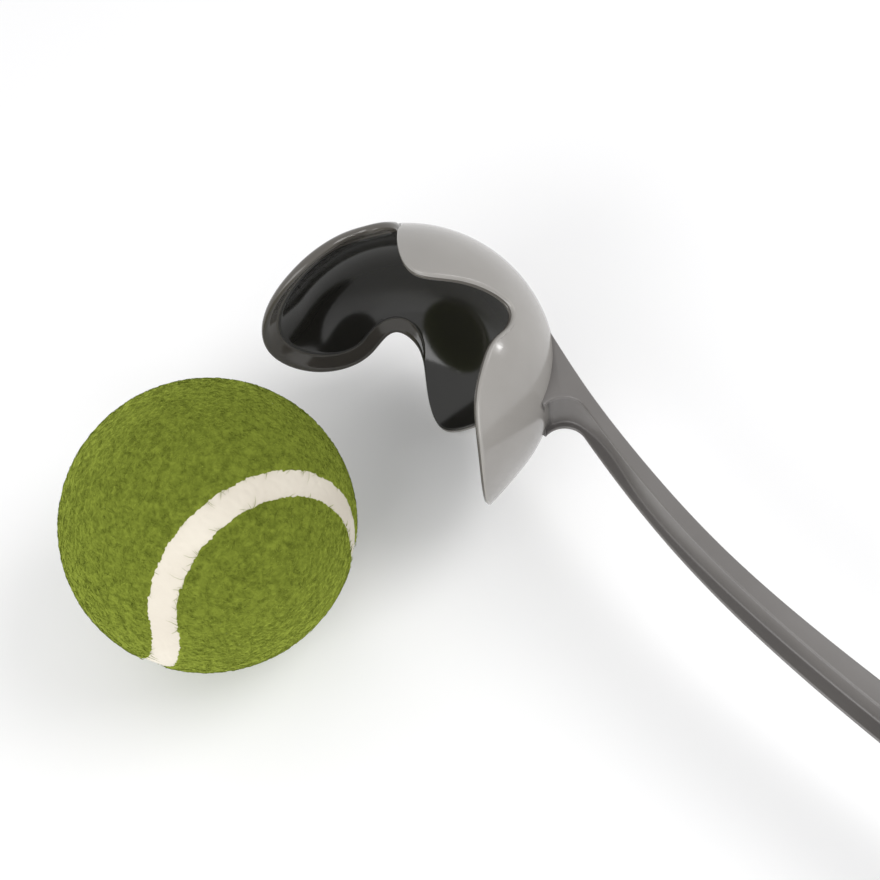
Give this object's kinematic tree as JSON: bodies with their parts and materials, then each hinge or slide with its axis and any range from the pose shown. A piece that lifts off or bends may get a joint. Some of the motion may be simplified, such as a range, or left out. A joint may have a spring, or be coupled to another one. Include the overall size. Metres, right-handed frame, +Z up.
{
  "type": "tennis ball launcher",
  "caption": "Hand-held launcher for a dog's tennis ball: a split cup that snaps over the ball, on a long curved arm with a soft-sleeved grip, and its felted ball.",
  "frame": {"origin": "on the floor, under the middle of the launcher and ball as they lie", "axes": "+X from the butt of the grip to the cup, +Y out of the cup's mouth towards the ball, +Z up from the floor"},
  "size_m": [0.5162, 0.1203, 0.0668],
  "materials": {
    "pale_plastic": "smooth moulded, glossy, light warm grey",
    "dark_plastic": "smooth moulded, glossy, charcoal",
    "grey_plastic": "satin moulded, mid grey",
    "soft_rubber": "matt soft-touch, near black",
    "ball_rubber": "plain moulded rubber",
    "seam_rubber": "matt cream seam cement",
    "ball_felt": "worn olive-green wool felt with a loose nap"
  },
  "bodies": {
    "launcher": {"cup_cover": "pale_plastic", "cup_liner": "dark_plastic", "throwing_arm": "grey_plastic", "grip_sleeve": "soft_rubber"},
    "ball": {"ball_core_lower": "ball_rubber", "ball_core_upper": "ball_rubber", "ball_seam": "seam_rubber", "ball_felt_lower": "ball_felt", "ball_felt_upper": "ball_felt"}
  },
  "joints": [
    {"name": "ball_roll_in", "type": "hinge", "parent": "launcher", "child": "ball", "pos_m": [0.34752, -0.02611, 0.03847], "axis": [-0.0396, 0.0352, 0.9986], "range_deg": [0, 24.2]}
  ]
}
